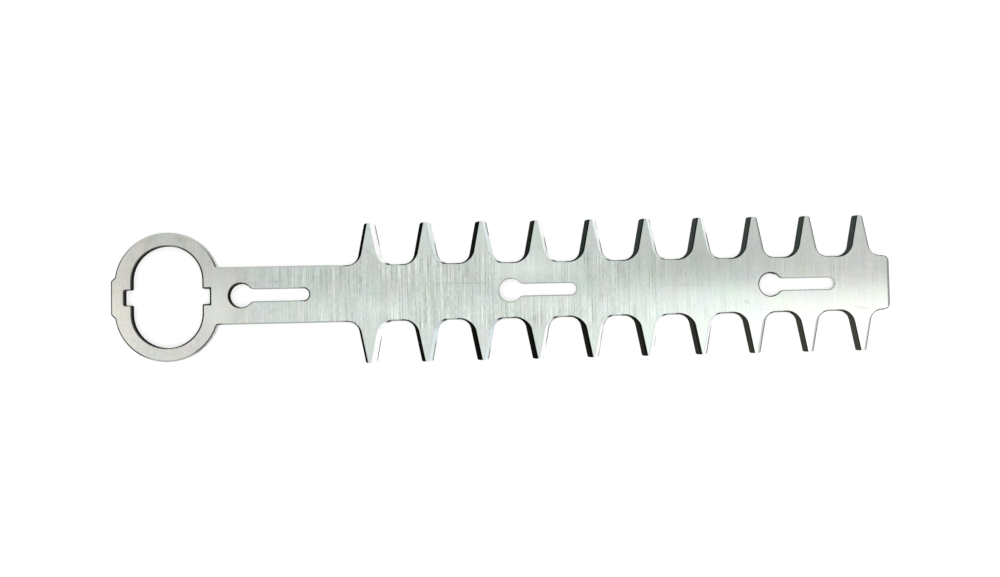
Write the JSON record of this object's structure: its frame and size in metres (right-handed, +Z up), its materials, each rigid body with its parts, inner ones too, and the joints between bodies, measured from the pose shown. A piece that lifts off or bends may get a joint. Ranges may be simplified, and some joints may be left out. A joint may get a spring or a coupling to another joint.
{
  "type": "pruning machine blade",
  "caption": "Flat double-sided reciprocating steel blade with bevel-ground teeth, an oblong drive eye and keyhole guide slots, for a hedge or tea pruning machine.",
  "frame": {"origin": "axis of the drive eye, in the lower face of the blade", "axes": "+X along the blade from the drive eye to the square end, +Y across it, +Z up out of the bevelled face"},
  "size_m": [0.4922, 0.088, 0.003],
  "materials": {
    "ground_steel": "flat ground across the blade, satin"
  },
  "bodies": {
    "root": {"blade": "ground_steel"}
  },
  "joints": []
}
